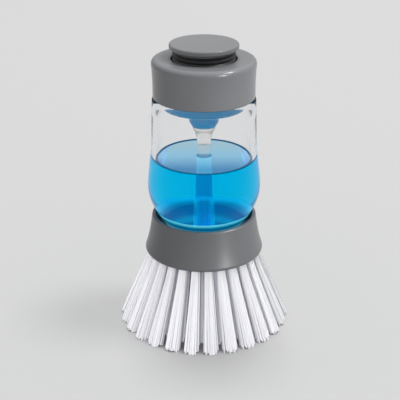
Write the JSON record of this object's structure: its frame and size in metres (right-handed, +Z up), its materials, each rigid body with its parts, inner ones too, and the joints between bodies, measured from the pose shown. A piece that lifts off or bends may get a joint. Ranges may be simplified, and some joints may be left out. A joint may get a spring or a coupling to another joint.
{
  "type": "soap dispensing dish brush",
  "caption": "Palm-held dish brush with a fanned round bristle head, a flared collar, a clear bellied soap tank, and a screw cap whose push button opens the soap valve.",
  "frame": {"origin": "on the floor under the middle of the bristle head, where the bristle tips stand", "axes": "+Z up along the brush's axis towards the push button, -Y towards the front of the picture, +X to its right"},
  "size_m": [0.0726, 0.0726, 0.12],
  "materials": {
    "grey_plastic": "satin",
    "dark_elastomer": "matte",
    "pale_elastomer": "matte",
    "natural_plastic": "satin",
    "clear_plastic": "gloss",
    "translucent_plastic": "satin",
    "blue_soap": "gloss",
    "spring_steel": "satin",
    "anchor_wire": "satin",
    "white_bristle": "satin"
  },
  "bodies": {
    "brush_head": {"collar": "grey_plastic", "brush_plate": "grey_plastic", "tuft_anchors": "anchor_wire", "bristles_outer": "white_bristle", "bristles_second": "white_bristle", "bristles_third": "white_bristle", "bristles_inner": "white_bristle"},
    "tank_unit": {"tank": "clear_plastic", "soap_fill": "blue_soap", "valve_housing": "clear_plastic", "valve_gasket": "dark_elastomer", "valve_seat": "dark_elastomer", "valve_spring": "spring_steel", "outlet_nozzle": "dark_elastomer", "valve_nut": "natural_plastic"},
    "valve": {"valve_poppet": "natural_plastic"},
    "cap_core": {"cap_insert": "translucent_plastic", "cap_gasket": "pale_elastomer", "rod_seal": "dark_elastomer", "bellows_ring": "natural_plastic", "return_spring": "spring_steel", "button_bellows": "dark_elastomer"},
    "cap_shell": {"screw_cap": "grey_plastic"},
    "plunger": {"push_button": "grey_plastic", "push_rod": "clear_plastic"}
  },
  "joints": [
    {"name": "head_twist", "type": "hinge", "parent": "brush_head", "child": "tank_unit", "pos_m": [0, 0, 0.04], "axis": [0, 0, -1], "range_deg": [0, 45]},
    {"name": "cap_lift", "type": "slide", "parent": "tank_unit", "child": "cap_core", "axis": [0, 0, 1], "range_m": [0, 0.07]},
    {"name": "cap_unscrew", "type": "hinge", "parent": "cap_core", "child": "cap_shell", "pos_m": [0, 0, 0.106], "axis": [0, 0, 1], "range_deg": [0, 270]},
    {"name": "button_press", "type": "slide", "parent": "cap_core", "child": "plunger", "axis": [0, 0, -1], "range_m": [0, 0.0032], "stiffness_N_per_m": 1500, "springref_m": -0.002, "deforming": ["return_spring", "button_bellows"]},
    {"name": "valve_open", "type": "slide", "parent": "tank_unit", "child": "valve", "axis": [0, 0, -1], "range_m": [0, 0.0032], "stiffness_N_per_m": 300, "springref_m": -0.002, "deforming": ["valve_spring"]}
  ],
  "couplings": [
    {"joint": "valve_open", "follows": "button_press", "ratio": 1}
  ]
}
